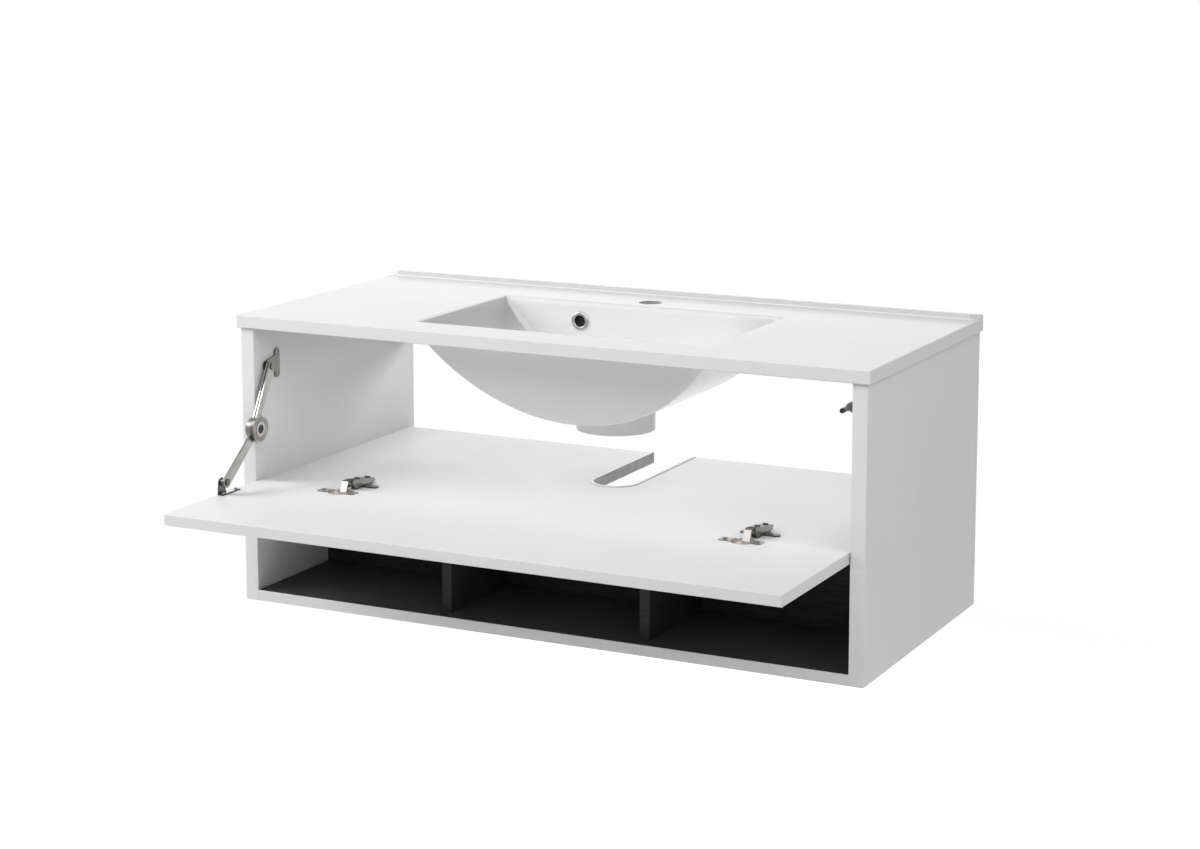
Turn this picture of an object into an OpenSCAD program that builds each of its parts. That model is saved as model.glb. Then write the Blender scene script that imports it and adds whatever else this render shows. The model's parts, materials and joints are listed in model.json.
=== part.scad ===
// Wall-hung bathroom vanity unit with a drop-down flap and a ceramic basin top.
// Millimetres. X runs to the right, Y towards the wall, Z up.
// Origin: the wall plane, the middle of the width, the underside of the cabinet.
// The flap is drawn open, as it lies when it is down.

/* [Cabinet] */
// Width over the side panels
cab_w = 1000; // [900:10:1200]
// Depth of the side panels, from the wall to the front
cab_d = 468; // [440:2:500]
// Height of the side panels
cab_h = 419; // [400:1:460]
// Thickness of the side panels
side_t = 22; // [19:0.5:25]
// Thickness of the shelf, bottom, rail, dividers and lower back
board_t = 16; // [15:0.5:19]
// Clear height of the lower bays
bay_h = 151; // [130:1:165]
// Depth of the lower bays behind the shelf's front edge
bay_d = 175; // [150:1:200]
// Width of the middle bay
centre_bay_w = 306; // [250:2:340]
// Gap between the shelf and the wall
shelf_wall_gap = 12; // [5:1:20]
// Height of the hanging rail
rail_h = 80; // [60:1:90]
// Small chamfer on the long edges of the boards
edge_c = 0.6; // [0.3:0.1:1.2]

/* [Pipe notch and wall screws] */
// Width of the notch in the shelf
notch_w = 70; // [60:1:90]
// Distance of the notch's centre from the middle of the shelf
notch_off = 4; // [-10:0.5:10]
// Length of the notch from the shelf's rear edge
notch_len = 241; // [200:1:270]
// Thickness of the trim inside the notch
trim_t = 1.5; // [1:0.1:2]
// Width of the trim's lip on the shelf
trim_lip = 4; // [3:0.5:6]
// Thickness of the trim's lip
trim_lip_t = 1; // [0.8:0.1:1.5]
// Distance between the two wall screws
wall_screw_span = 800; // [600:10:840]
// Diameter of the wall screw holes
wall_hole_d = 9; // [7:0.5:11]

/* [Basin top] */
// Overhang of the top past each side panel
top_over_side = 5; // [2:0.5:10]
// Overhang of the top past the front of the cabinet
top_over_front = 5; // [2:0.5:10]
// Thickness of the top's rim
top_t = 19; // [16:0.5:24]
// Height of the upstand above the top
upstand_h = 9; // [6:0.5:14]
// Thickness of the upstand, front to wall
upstand_t = 22; // [16:1:26]
// Fall of the upstand's upper face towards the wall
upstand_fall = 3; // [1:0.5:4]
// Corner cut at each end of the upstand
upstand_cut = 12; // [6:1:16]
// Width of the bowl's opening
bowl_w = 463; // [420:1:500]
// Distance from the front of the top to the bowl's opening
bowl_front = 73; // [60:1:90]
// Distance from the wall to the bowl's opening
bowl_rear = 129.5; // [124:0.5:136]
// Depth of the bowl below the top
bowl_depth = 133; // [110:1:145]
// Run of the sloping front wall over the depth of the bowl
bowl_lean = 53; // [30:1:70]
// Thickness of the curved floor and sides
bowl_wall = 12; // [9:0.5:15]
// Thickness of the sloping front wall, measured level
bowl_front_wall = 9; // [7:0.5:12]
// Thickness of the rear wall
bowl_rear_wall = 14; // [13:0.5:16]
// Distance from the wall to the drain
drain_y = 210; // [195:1:225]
// Diameter of the drain hole
drain_d = 46; // [40:1:50]
// Diameter of the recess around the drain hole
drain_recess_d = 64; // [58:1:74]
// Depth of the recess around the drain hole
drain_recess = 2; // [1:0.5:3]
// Diameter of the boss under the drain
boss_d = 120; // [90:1:130]
// Depth of the boss below the bowl's outer floor
boss_h = 29.5; // [15:0.5:40]
// Distance from the wall to the tap hole
tap_y = 90; // [75:1:92]
// Diameter of the tap hole
tap_d = 35; // [33:0.5:36]
// Distance of the overflow hole from the middle, to the left
overflow_x = 101.5; // [60:0.5:120]
// Depth of the overflow hole below the top
overflow_drop = 30.5; // [28:0.5:40]
// Outer diameter of the overflow ring
ring_d = 30; // [26:0.5:34]
// Inner diameter of the overflow ring
ring_bore = 18; // [14:0.5:20]

/* [Flap] */
// Gap at each side of the flap
flap_side_gap = 1.2; // [0.8:0.1:2.5]
// Gap between the closed flap and the top
flap_top_gap = 3; // [2.5:0.1:5]
// How far the closed flap hangs below the shelf
flap_drop = 3; // [2:0.5:8]
// Distance of the hinge axis behind the flap's front face
pole_in = 5; // [4:0.5:7]
// Clearance between the swinging flap and the shelf
swing_gap = 1.4; // [1:0.1:3]

/* [Flap hinges] */
// Distance of each hinge's middle from its side of the cabinet
hinge_in = 175; // [150:1:220]
// Diameter of the hinge cup's hole
cup_d = 35; // [34:0.5:36]
// Depth of the hinge cup's hole
cup_depth = 12.5; // [12:0.1:13]
// Distance from the flap's edge to the cup's hole
cup_edge = 5.5; // [5:0.5:6.5]
// Length of the cup's flange
flange_l = 63; // [60:1:70]
// Width of the cup's flange
flange_w = 18; // [16:0.5:24]
// Distance of the flange's middle from the middle of the cup, to the left
flange_off = 3.5; // [0:0.5:4]
// Thickness of the flange
flange_t = 1.2; // [1:0.1:1.6]
// Distance between the flange screws
flange_screw_span = 48; // [46:1:50]
// Width of the hinge arm
arm_w = 15; // [14:0.5:17]
// Length of the hinge arm behind its pivot
arm_l = 59; // [50:1:70]
// Fall of the arm's top from its pivot to its rear end
arm_fall = 8; // [0:0.5:10]
// Sheet thickness of the hinge arm
arm_t = 1.5; // [1.2:0.1:1.8]
// Distance of the plate screws behind the closed flap's inner face
plate_setback = 36; // [32:1:40]
// Distance between the plate screws
plate_screw_span = 32; // [30:1:36]
// Length of the mounting plate's wings, tip to tip
plate_l = 60; // [50:1:64]

/* [Flap stay] */
// Distance of the stay's upper pivot behind the cabinet's front
stay_top_in = 31; // [28:0.5:40]
// Distance of the stay's upper pivot below the side panel's top
stay_top_down = 61.5; // [55:0.5:70]
// Distance of the stay's lower pivot from the flap's hinge axis, along the flap
stay_foot_out = 101.5; // [92:0.5:110]
// Height of the stay's lower pivot above the flap's inner face
stay_foot_up = 19; // [16:0.5:22]
// Distance of the elbow from the straight line between the pivots
stay_bend = 20.4; // [12:0.2:24]
// Share of that line that lies beside the upper arm
stay_share = 0.486; // [0.44:0.002:0.54]
// Thickness of the lower arm
lower_arm_t = 3; // [2:0.5:4]
// Width of the lower arm
lower_arm_w = 14; // [12:0.5:16]
// Thickness of the upper arm
upper_arm_t = 6.4; // [5:0.2:7]
// Width of the upper arm
upper_arm_w = 11; // [9:0.5:14]
// Width of the groove in the edges of the upper arm
arm_groove_w = 2; // [1:0.5:3]
// Diameter of the knuckle at the elbow
knuckle_d = 31; // [24:1:34]
// Diameter of the brake disc
disc_d = 40; // [34:1:44]
// Thickness of the brake disc
disc_t = 6; // [5:0.5:8]
// Diameter of the stay's pivot pins
stay_pin_d = 5; // [4:0.5:6]
// Distance between the stay's wall screws
stay_screw_span = 32; // [28:1:36]

/* [Latch] */
// Distance of the latch's axis from the side panel
latch_off = 14.3; // [12:0.1:16]
// Distance of the latch's axis below the side panel's top
latch_down = 39; // [30:1:50]
// Diameter of the plunger
plunger_d = 7; // [6:0.5:8]
// Length of the plunger that stands out of the housing
plunger_out = 28; // [26:0.5:30]
// Length of the housing
latch_l = 60; // [54:1:70]

/* [Fits] */
// Radial clearance between a pin and the piece that turns on it
run_fit = 0.05; // [0.02:0.01:0.1]
// Clearance of a screw, dowel or cup in its hole, on the radius
seat_fit = 0.05; // [0.02:0.01:0.1]
// Axial gap between pieces that slide past each other
side_gap = 0.3; // [0.2:0.05:0.4]

/* [Hidden] */
$fn = 96;
eps = 0.01;
// How far a straight side lies inside the tangent of the round ends that it joins
side_in = 0.03;

// Boards
in_w = cab_w - 2*side_t;
shelf_z0 = board_t + bay_h;
shelf_z1 = shelf_z0 + board_t;

// Flap, closed and open, and its hinge axis
flap_w = in_w - 2*flap_side_gap;
flap_z0 = shelf_z0 - flap_drop;
flap_h = cab_h - flap_top_gap - flap_z0;
pole_up = board_t - pole_in;
pole_y = -cab_d + pole_in;
pole_z = flap_z0 + pole_up;
closed_face_y = -cab_d + board_t;
open_face_z = pole_z + pole_up;
open_rear_y = pole_y + pole_up;
open_front_y = open_rear_y - flap_h;
shelf_front_y = pole_y + norm([pole_up, pole_up]) + swing_gap;
bay_back_y = shelf_front_y + bay_d;

// Centre of the notch's round end
notch_y = -shelf_wall_gap - notch_len + notch_w/2;

// Basin top: the bowl is an arc seen from the front
top_z0 = cab_h;
top_z1 = top_z0 + top_t;
top_w = cab_w + 2*top_over_side;
top_front_y = -cab_d - top_over_front;
bowl_r = (pow(bowl_w/2, 2) + pow(bowl_depth, 2)) / (2*bowl_depth);
bowl_cz = top_z1 - bowl_depth + bowl_r;
bowl_floor_z = top_z1 - bowl_depth;
bowl_y0 = top_front_y + bowl_front;
bowl_y1 = -bowl_rear;
boss_z0 = bowl_floor_z - bowl_wall - boss_h;
ring_hole_d = ring_bore + 4;
ring_lip_t = 2.5;
ring_hole_depth = bowl_rear_wall - 5;

// Flap hinges
hinge_xs = [for (s = [-1, 1]) s*(cab_w/2 - hinge_in)];
cup_y = open_rear_y - cup_edge - cup_d/2;
cup_wall = 0.8;
rim_up = 0.2;
hinge_pivot = [closed_face_y + 5, open_face_z + 9];
knuckle_r = 4.5;
link_out = 20;
link_dip = 12.2;
link_t = 2.5;
hinge_pin_d = 3;
link_w = arm_w - 2*arm_t - 2*side_gap;
plate_y = closed_face_y + plate_setback;
plate_t = 2;
plate_wing = 13;
ridge_w = arm_w - 2*arm_t - 0.4;
arm_z0 = shelf_z1 + plate_t + side_gap;
arm_y1 = hinge_pivot[0] + arm_l;
roof_y0 = hinge_pivot[0] + knuckle_r + 2;
roof_y1 = arm_y1 - 2;
arm_screw_in = [20, 10];
arm_screw_ys = [hinge_pivot[0] + arm_screw_in[0], arm_y1 - arm_screw_in[1]];
arm_screw_d = 4;
arm_screw_l = 7.5;
arm_head_d = 8;

// Flap stay: its pivots in the YZ plane and its layers along X
panel_x = -in_w/2;
stay_top = [-cab_d + stay_top_in, cab_h - stay_top_down];
stay_foot = [pole_y - stay_foot_out, open_face_z + stay_foot_up];
stay_line = stay_foot - stay_top;
stay_elbow = stay_top + stay_share*stay_line + stay_bend*[-stay_line[1], stay_line[0]]/norm(stay_line);
bracket_t = 2;
knuckle_x = panel_x + bracket_t + side_gap;
upper_arm_x = knuckle_x + 2.7;
lower_arm_x = upper_arm_x + upper_arm_t + side_gap;
disc_x = lower_arm_x + lower_arm_t;
pin_head_d = 10;
pin_head_t = 1.5;
hub_d = 12;
foot_eye_r = 8.5;
ear_x = knuckle_x + side_gap;
ear_r = 6.5;
foot_plate_l = 46;
foot_plate_w = 9;
foot_plate_out = 8.5;
foot_plate_y = stay_foot[0] - foot_plate_out + foot_plate_l/2;
foot_screw_span = 34;
foot_screw_x = ear_x + bracket_t + 3.4;
stay_screw_back = 29;
stay_screw_y = stay_top[0] + stay_screw_back;
stay_screw_zs = [for (s = [-1, 1]) stay_top[1] + s*stay_screw_span/2];

// Latch
latch_x = in_w/2 - latch_off;
latch_z = cab_h - latch_down;
latch_y0 = closed_face_y + 11;
latch_tube_d = plunger_d + 4;
latch_plate_h = 28;
latch_flare_h = 24;
latch_flare_t = 3;
latch_plate_t = 3;
tip_l = 3;
plunger_l = plunger_out + 18;
latch_screw_in = [9, 45];
latch_screw_off = 10;
latch_screws = [for (k = [0, 1]) [latch_y0 + latch_screw_in[k], latch_z + (2*k - 1)*latch_screw_off]];

// Screws and dowels
screw_d = 3.5;
screw_l = 13;
head_d = 6.6;
head_h = 1.8;
dowel_d = 8;
dowel_l = 30;
dowel_in_side = 12;
dowel_slack = 0.5;
dowel_in_flat = 10;
bottom_dowel_in = [60, 70];
shelf_dowel_in = [40, 60];

// Draws its 2-D children, given as (y, z), as a bar along X
module along_x(x0, len) {
    translate([x0, 0, 0]) rotate([90, 0, 90]) linear_extrude(len) children();
}

// Draws its 2-D children, given as (x, z), as a bar along Y that ends at y1
module along_y(y1, len) {
    translate([0, y1, 0]) rotate([90, 0, 0]) linear_extrude(len) children();
}

// Rectangle from corner a to corner b with its four corners cut by c
module cut_rect(a, b, c) {
    polygon([[a[0] + c, a[1]], [b[0] - c, a[1]], [b[0], a[1] + c], [b[0], b[1] - c],
        [b[0] - c, b[1]], [a[0] + c, b[1]], [a[0], b[1] - c], [a[0], a[1] + c]]);
}

// Plain box between two corners
module box(a, b) {
    translate(a) cube(b - a);
}

// The side to the right of the way from circle a to circle b, each given as [centre, radius]
function side_points(a, b) = let (d = b[0] - a[0], turn = atan2(d[1], d[0]) - acos((a[1] - b[1])/norm(d)))
    [for (c = [a, b]) c[0] + (c[1] - side_in)*[cos(turn), sin(turn)]];

// Circles in anticlockwise order and the straight sides round them, drawn just inside their tangents
module lobed(circles) {
    n = len(circles);
    for (c = circles) translate(c[0]) circle(c[1]);
    polygon([for (i = [0:n - 1]) each side_points(circles[i], circles[(i + 1)%n])]);
}

module capsule(a, b, ra, rb) {
    lobed([[a, ra], [b, rb]]);
}

// Cylinder with its axis along X, from x0
module rod_x(x0, len, yz, d) {
    translate([x0, yz[0], yz[1]]) rotate([0, 90, 0]) cylinder(d = d, h = len);
}

// Cylinder with its axis along Y, from y0
module rod_y(y0, len, xz, d) {
    translate([xz[0], y0, xz[1]]) rotate([-90, 0, 0]) cylinder(d = d, h = len);
}

// Screw with its head's underside at the origin and its shank down -Z
module screw(len = screw_l) {
    difference() {
        union() {
            cylinder(d1 = head_d, d2 = head_d - 1.6, h = head_h);
            translate([0, 0, -len]) cylinder(d = screw_d, h = len + eps);
        }
        for (a = [0, 90]) rotate([0, 0, a])
            translate([-head_d/4, -0.4, head_h - 0.9]) cube([head_d/2, 0.8, 1]);
    }
}

// Hole that the screw's shank sits in
module screw_hole(len = screw_l + 0.3) {
    translate([0, 0, -len]) cylinder(d = screw_d + 2*seat_fit, h = len + 4);
}

// Places of the dowels: a point on the joint face, and the axis
function side_dowels(s) = concat(
    [for (y = [-cab_d + bottom_dowel_in[0], -bottom_dowel_in[1]]) [s*in_w/2, y, board_t/2]],
    [for (y = [shelf_front_y + shelf_dowel_in[0], -shelf_wall_gap - shelf_dowel_in[1]])
        [s*in_w/2, y, shelf_z0 + board_t/2]],
    [for (k = [0.25, 0.75]) [s*in_w/2, -board_t/2, cab_h - k*rail_h]],
    [for (k = [0.25, 0.75]) [s*in_w/2, bay_back_y + board_t/2, board_t + k*bay_h]]);

divider_xs = [for (s = [-1, 1]) s*(centre_bay_w + board_t)/2];

// Dowels that stand up from the bottom panel and down from the shelf, for a divider at x
function divider_dowels(x, z) = [for (k = [0.25, 0.75])
    [x, shelf_front_y + k*bay_d, z]];

// One dowel along X in a side joint; grow widens it into its hole
module side_dowel(p, s, grow = 0) {
    in_left = s > 0 ? dowel_l - dowel_in_side : dowel_in_side;
    rod_x(p[0] - in_left - grow*dowel_slack, dowel_l + 2*grow*dowel_slack, [p[1], p[2]],
        dowel_d + 2*grow*seat_fit);
}

// One upright dowel in a divider joint; side is 1 where the divider is above the joint
module divider_dowel(p, side, grow = 0) {
    translate([p[0], p[1], p[2] - (side > 0 ? dowel_in_flat : dowel_l - dowel_in_flat) - grow*dowel_slack])
        cylinder(d = dowel_d + 2*grow*seat_fit, h = dowel_l + 2*grow*dowel_slack);
}

module all_side_dowels(s, grow = 0) {
    for (p = side_dowels(s)) side_dowel(p, s, grow);
}

module divider_dowel_set(x, grow = 0) {
    for (p = divider_dowels(x, board_t)) divider_dowel(p, 1, grow);
    for (p = divider_dowels(x, shelf_z0)) divider_dowel(p, -1, grow);
}

// Side panel: s is -1 on the left and 1 on the right
module side_panel(s) {
    x0 = s > 0 ? in_w/2 : -cab_w/2;
    difference() {
        linear_extrude(cab_h) cut_rect([x0, -cab_d], [x0 + side_t, 0], edge_c);
        all_side_dowels(s, 1);
        if (s < 0) stay_wall_screw_places() screw_hole();
        if (s > 0) latch_screw_places() screw_hole();
    }
}

module side_panel_left() {
    color("white") side_panel(-1);
}

module side_panel_right() {
    color("white") side_panel(1);
}

// Its rear edge is square, so that it lies flat on the wall
module bottom_panel() {
    color([0.15, 0.15, 0.16]) difference() {
        along_x(-in_w/2, in_w) polygon([[-cab_d + edge_c, 0], [0, 0], [0, board_t],
            [-cab_d + edge_c, board_t], [-cab_d, board_t - edge_c], [-cab_d, edge_c]]);
        for (s = [-1, 1]) all_side_dowels(s, 1);
        for (x = divider_xs) divider_dowel_set(x, 1);
    }
}

// Upright outline of the pipe notch with a round end of radius r, open to y1
module notch_bar(r, y1, z0, z1) {
    translate([notch_off, notch_y, z0]) cylinder(r = r, h = z1 - z0);
    box([notch_off - r, notch_y, z0], [notch_off + r, y1, z1]);
}

module shelf() {
    color("white") difference() {
        along_x(-in_w/2, in_w)
            cut_rect([shelf_front_y, shelf_z0], [-shelf_wall_gap, shelf_z1], edge_c);
        notch_bar(notch_w/2, 1, shelf_z0 - 1, shelf_z1 + 1);
        for (s = [-1, 1]) all_side_dowels(s, 1);
        for (x = divider_xs) divider_dowel_set(x, 1);
        hinge_places() plate_screw_places() screw_hole();
    }
}

// Edge trim of the notch: a wall inside it and a lip on the shelf
module notch_trim() {
    color("white") difference() {
        union() {
            notch_bar(notch_w/2 - seat_fit, -shelf_wall_gap - edge_c, shelf_z0, shelf_z1 + eps);
            notch_bar(notch_w/2 + trim_lip, -shelf_wall_gap - edge_c, shelf_z1, shelf_z1 + trim_lip_t);
        }
        notch_bar(notch_w/2 - trim_t, 0, shelf_z0 - 1, shelf_z1 + 3);
    }
}

module lower_back_panel() {
    color([0.12, 0.12, 0.13]) difference() {
        box([-in_w/2, bay_back_y, board_t], [in_w/2, bay_back_y + board_t, shelf_z0]);
        for (s = [-1, 1]) all_side_dowels(s, 1);
    }
}

module divider(x) {
    color([0.12, 0.12, 0.13]) difference() {
        translate([0, 0, board_t]) linear_extrude(bay_h)
            cut_rect([x - board_t/2, shelf_front_y], [x + board_t/2, bay_back_y], edge_c);
        divider_dowel_set(x, 1);
    }
}

module divider_left() {
    divider(divider_xs[0]);
}

module divider_right() {
    divider(divider_xs[1]);
}

module hanging_rail() {
    color("white") difference() {
        along_x(-in_w/2, in_w) cut_rect([-board_t, cab_h - rail_h], [0, cab_h], edge_c);
        for (s = [-1, 1]) all_side_dowels(s, 1);
        for (s = [-1, 1]) rod_y(-board_t - 1, board_t + 2,
            [s*wall_screw_span/2, cab_h - rail_h/2], wall_hole_d);
    }
}

module dowels() {
    color("burlywood") {
        for (s = [-1, 1]) all_side_dowels(s);
        for (x = divider_xs) divider_dowel_set(x);
    }
}

// Upright outline of the basin top seen from the side: the slab and the upstand
module top_outline() {
    polygon([[top_front_y, top_z0], [0, top_z0], [0, top_z1 + upstand_h - upstand_fall],
        [-upstand_t, top_z1 + upstand_h], [-upstand_t, top_z1], [top_front_y, top_z1]]);
}

// Bowl shape: an arc seen from the front, cut by a front plane and a rear plane
// r is the arc's radius, top its upper end; front and rear are the y of the walls at the slab's top
module bowl_form(r, top, front, rear) {
    low = bowl_cz - r - 1;
    lean = bowl_lean/bowl_depth;
    intersection() {
        along_y(0, cab_d + top_over_front) intersection() {
            translate([0, bowl_cz]) circle(r, $fn = 180);
            translate([-r, low]) square([2*r, top - low]);
        }
        along_x(-r, 2*r) polygon([[front - lean*(top - top_z1), top], [rear, top], [rear, low],
            [front + lean*(top_z1 - low), low]]);
    }
}

module overflow_place() {
    translate([-overflow_x, bowl_y1, top_z1 - overflow_drop]) rotate([90, 0, 0]) children();
}

module washbasin() {
    color("white") difference() {
        union() {
            along_x(-top_w/2, top_w) top_outline();
            bowl_form(bowl_r + bowl_wall, top_z0 + 1, bowl_y0 - bowl_front_wall, bowl_y1 + bowl_rear_wall);
            translate([0, -drain_y, boss_z0]) cylinder(d = boss_d, h = boss_h + 0.75*bowl_wall);
        }
        bowl_form(bowl_r, top_z1 + 1, bowl_y0, bowl_y1);
        translate([0, -drain_y, bowl_floor_z - drain_recess])
            cylinder(d = drain_recess_d, h = drain_recess + 8);
        translate([0, -drain_y, boss_z0 - 1]) cylinder(d = drain_d, h = bowl_depth);
        translate([0, -tap_y, top_z0 - 1]) cylinder(d = tap_d, h = top_t + 2);
        overflow_place() translate([0, 0, -ring_hole_depth])
            cylinder(d = ring_hole_d, h = ring_hole_depth + 1);
        for (s = [-1, 1]) translate([s*(top_w/2 - upstand_cut), -upstand_t, top_z1])
            linear_extrude(upstand_h + 1)
                polygon([[-s, -1], [s*(upstand_cut + 1), -1], [s*(upstand_cut + 1), upstand_cut + 1]]);
    }
}

// Chrome ring: a rounded lip on the rear wall and a sleeve in the hole
module overflow_ring() {
    sleeve_r = ring_hole_d/2 - seat_fit;
    color("silver") overflow_place() difference() {
        union() {
            cylinder(d1 = ring_d, d2 = ring_d - 3, h = ring_lip_t);
            translate([0, 0, -ring_hole_depth + 1]) cylinder(r = sleeve_r, h = ring_hole_depth);
        }
        translate([0, 0, -ring_hole_depth]) cylinder(d = ring_bore, h = ring_hole_depth + ring_lip_t + 1);
    }
}

// Runs its children at each hinge: x = 0 is the hinge's middle
module hinge_places() {
    for (x = hinge_xs) translate([x, 0, 0]) children();
}

module flange_screw_places() {
    for (s = [-1, 1])
        translate([s*flange_screw_span/2 - flange_off, cup_y, open_face_z + flange_t]) children();
}

module plate_screw_places() {
    for (s = [-1, 1]) translate([s*plate_screw_span/2, plate_y, shelf_z1 + plate_t]) children();
}

module foot_screw_places() {
    for (s = [-1, 1])
        translate([foot_screw_x, foot_plate_y + s*foot_screw_span/2, open_face_z + bracket_t]) children();
}

module stay_wall_screw_places() {
    for (z = stay_screw_zs)
        translate([panel_x + bracket_t - head_h, stay_screw_y, z]) rotate([0, 90, 0]) children();
}

module latch_screw_places() {
    for (p = latch_screws)
        translate([in_w/2 - latch_plate_t, p[0], p[1]]) rotate([0, -90, 0]) children();
}

module flap() {
    color("white") difference() {
        intersection() {
            along_x(-flap_w/2, flap_w) cut_rect([open_front_y, open_face_z - board_t],
                [open_rear_y, open_face_z], edge_c);
            translate([0, 0, open_face_z - board_t]) linear_extrude(board_t)
                cut_rect([-flap_w/2, open_front_y], [flap_w/2, open_rear_y], edge_c);
        }
        hinge_places() {
            translate([0, cup_y, open_face_z - cup_depth]) cylinder(d = cup_d, h = cup_depth + 1);
            flange_screw_places() screw_hole(screw_l - 1);
        }
        foot_screw_places() screw_hole(screw_l);
    }
}

// Hinge cup: a pressed cup with a level rim, and a straight flange across it with two screw holes
module hinge_cup() {
    r = cup_d/2 - seat_fit;
    cup_z0 = open_face_z - cup_depth + 0.1;
    color("silver") difference() {
        union() {
            translate([0, cup_y, cup_z0]) cylinder(r = r, h = cup_depth - 0.1 + rim_up);
            translate([-flange_off, cup_y, open_face_z]) linear_extrude(flange_t)
                cut_rect([-flange_l/2, -flange_w/2], [flange_l/2, flange_w/2], 1.5);
        }
        translate([0, cup_y, cup_z0 + cup_wall]) cylinder(r = r - cup_wall, h = cup_depth + 2);
        flange_screw_places() cylinder(d = screw_d + 2*seat_fit, h = 8, center = true);
    }
}

module hinge_cup_left() {
    translate([hinge_xs[0], 0, 0]) hinge_cup();
}

module hinge_cup_right() {
    translate([hinge_xs[1], 0, 0]) hinge_cup();
}

module hinge_cup_screws() {
    color("silver") hinge_places() flange_screw_places() screw(screw_l - 2);
}

// Bent link: a strap that rises out of the cup, turns back and ends in a knuckle on the arm's pin
module hinge_link() {
    p = hinge_pivot;
    color("silver") along_x(-link_w/2, link_w) difference() {
        union() {
            translate(p) circle(knuckle_r);
            polygon([p + [-link_out, link_t/2 - link_dip], p + [link_t - link_out, -link_dip],
                p + [-5*link_t, 1.6], p + [-3, 1.8], p + [0, knuckle_r],
                p + [-11.6, 4.8], p + [-13.2, 4.2], p + [-14, 3.2]]);
        }
        translate(p) circle(hinge_pin_d/2 + run_fit);
    }
}

module hinge_link_left() {
    translate([hinge_xs[0], 0, 0]) hinge_link();
}

module hinge_link_right() {
    translate([hinge_xs[1], 0, 0]) hinge_link();
}

// Height of the arm's top at a distance from the wall
function arm_top(y) = hinge_pivot[1] + knuckle_r - arm_fall*(y - hinge_pivot[0])/arm_l;

// Side cheek of the arm, seen from the side
module arm_cheek() {
    p = hinge_pivot;
    translate(p) circle(knuckle_r);
    polygon([p + [0, knuckle_r - eps], [roof_y1, arm_top(roof_y1)], [arm_y1, arm_top(arm_y1) - 2],
        [arm_y1, arm_z0], [p[0] + 4, arm_z0], p + [-1, -knuckle_r + 0.2]]);
}

// Runs its children at each screw of the arm, square to the sloping roof
module arm_screw_places() {
    for (y = arm_screw_ys) translate([0, y, arm_top(y)]) rotate([-atan(arm_fall/arm_l), 0, 0]) children();
}

// Folded arm: two cheeks, and a roof that starts behind the link
module hinge_arm() {
    color("silver") difference() {
        union() {
            for (s = [-1, 1]) along_x(s > 0 ? arm_w/2 - arm_t : -arm_w/2, arm_t) arm_cheek();
            along_x(-arm_w/2, arm_w) polygon([for (k = [[roof_y0, 0], [roof_y1, 0], [roof_y1, arm_t],
                [roof_y0, arm_t]]) [k[0], arm_top(k[0]) - k[1]]]);
        }
        rod_x(-arm_w/2 - 1, arm_w + 2, hinge_pivot, hinge_pin_d + 2*seat_fit);
        arm_screw_places() cylinder(d = arm_screw_d + 2*seat_fit, h = 4*arm_t, center = true);
    }
}

module hinge_arm_left() {
    translate([hinge_xs[0], 0, 0]) hinge_arm();
}

module hinge_arm_right() {
    translate([hinge_xs[1], 0, 0]) hinge_arm();
}

module hinge_pins() {
    color("silver") hinge_places() rod_x(-arm_w/2, arm_w, hinge_pivot, hinge_pin_d);
}

// Mounting plate: two wings across and a ridge that the arm sits over
module hinge_plate() {
    y0 = hinge_pivot[0] + 13;
    y1 = arm_y1 - 4;
    under = arm_t + side_gap;
    color("silver") difference() {
        union() {
            translate([0, plate_y, shelf_z1]) linear_extrude(plate_t) {
                square([plate_l - plate_wing, plate_wing], center = true);
                for (s = [-1, 1]) translate([s*(plate_l - plate_wing)/2, 0])
                    circle(d = plate_wing - 2*side_in);
            }
            along_x(-ridge_w/2, ridge_w) polygon([[y0, shelf_z1], [y1, shelf_z1],
                [y1, arm_top(y1) - under], [y0, arm_top(y0) - under]]);
        }
        plate_screw_places() cylinder(d = screw_d + 2*seat_fit, h = 8, center = true);
        arm_screw_places() translate([0, 0, -arm_screw_l - 0.3])
            cylinder(d = arm_screw_d + 2*seat_fit, h = 2*arm_screw_l);
    }
}

module hinge_plate_left() {
    translate([hinge_xs[0], 0, 0]) hinge_plate();
}

module hinge_plate_right() {
    translate([hinge_xs[1], 0, 0]) hinge_plate();
}

module hinge_plate_screws() {
    color("silver") hinge_places() plate_screw_places() screw();
}

// Adjusting and fixing screws on top of each arm
module hinge_arm_screws() {
    color("gray") hinge_places() arm_screw_places() difference() {
        union() {
            cylinder(d = arm_head_d, h = head_h);
            translate([0, 0, -arm_screw_l]) cylinder(d = arm_screw_d, h = arm_screw_l + eps);
        }
        translate([-3, -0.5, head_h - 0.9]) cube([6, 1, 2]);
    }
}

// Wall bracket: a flat plate with two screw lobes and a forward lobe for the pivot
module stay_wall_bracket() {
    color("silver") difference() {
        along_x(panel_x, bracket_t) {
            capsule([stay_screw_y, stay_screw_zs[0]], [stay_screw_y, stay_screw_zs[1]], 6.5, 6.5);
            lobed([[stay_top, 7.5], for (s = [-1, 1]) [[stay_screw_y, stay_top[1] + 7*s], 6.4]]);
        }
        rod_x(panel_x - 1, bracket_t + 2, stay_top, stay_pin_d + 2*seat_fit);
        stay_wall_screw_places() {
            cylinder(d = screw_d + 2*seat_fit, h = 8, center = true);
            cylinder(d = head_d + 2*seat_fit, h = 4);
        }
    }
}

// Pivot pin: it sits in the plate at x0, and its collar and head hold an arm between them
module stay_pin(x0, arm_x, arm_t, at) {
    head_x = arm_x + arm_t + side_gap;
    color("silver") {
        rod_x(x0, head_x + eps - x0, at, stay_pin_d);
        rod_x(x0 + bracket_t, arm_x - side_gap - x0 - bracket_t, at, pin_head_d);
        rod_x(head_x, pin_head_t, at, pin_head_d);
    }
}

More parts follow.
